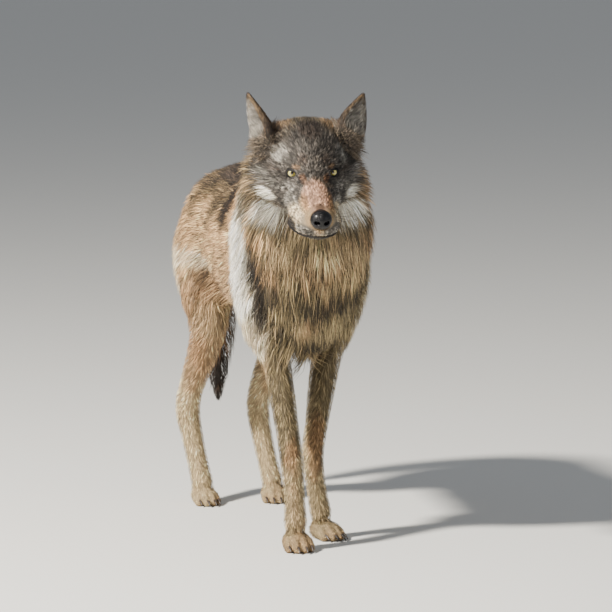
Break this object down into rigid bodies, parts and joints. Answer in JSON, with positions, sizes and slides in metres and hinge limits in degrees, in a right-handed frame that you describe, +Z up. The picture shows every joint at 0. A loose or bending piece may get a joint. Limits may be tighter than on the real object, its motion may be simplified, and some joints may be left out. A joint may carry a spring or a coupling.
{
  "type": "timber wolf",
  "caption": "Life-size still timber wolf standing at rest, head lowered and turned slightly, with a thick winter ruff, upright ears and a drooping bushy tail.",
  "frame": {"origin": "on the ground, midway under the whole animal", "axes": "+Z up, -Y ahead of the wolf, +X towards its left side"},
  "size_m": [0.3615, 1.2419, 0.9978],
  "materials": {
    "coat_back": "coarse fur, grey-brown with black tips",
    "coat_flank": "coarse fur, tan with dark tips",
    "coat_ruff": "long soft fur, cream and tan with dark tips",
    "coat_face": "short fur, grizzled grey",
    "coat_leg": "short smooth fur, tan and cream",
    "ear_coat": "short fur, rufous backs and pale inner hair",
    "nose_skin": "damp pebbled black skin",
    "eye": "clear wet cornea over a pale yellow-green iris",
    "claw": "worn dark horn"
  },
  "bodies": {
    "root": {"chest": "coat_flank", "claw_left_fore_1": "claw", "claw_left_fore_2": "claw", "claw_left_fore_3": "claw", "claw_left_fore_4": "claw", "claw_left_hind_1": "claw", "claw_left_hind_2": "claw", "claw_left_hind_3": "claw", "claw_left_hind_4": "claw", "claw_right_fore_1": "claw", "claw_right_fore_2": "claw", "claw_right_fore_3": "claw", "claw_right_fore_4": "claw", "claw_right_hind_1": "claw", "claw_right_hind_2": "claw", "claw_right_hind_3": "claw", "claw_right_hind_4": "claw", "ear_left": "ear_coat", "ear_right": "ear_coat", "eye_left": "eye", "eye_right": "eye", "forefoot_left": "coat_leg", "forefoot_right": "coat_leg", "foreleg_left": "coat_leg", "foreleg_right": "coat_leg", "head": "coat_face", "hindfoot_left": "coat_leg", "hindfoot_right": "coat_leg", "loin": "coat_flank", "lower_jaw": "coat_face", "neck": "coat_ruff", "nose": "nose_skin", "rump": "coat_back", "shank_left": "coat_leg", "shank_right": "coat_leg", "tail_middle": "coat_back", "tail_root": "coat_back", "tail_tip": "coat_back", "thigh_left": "coat_flank", "thigh_right": "coat_flank"}
  },
  "joints": []
}
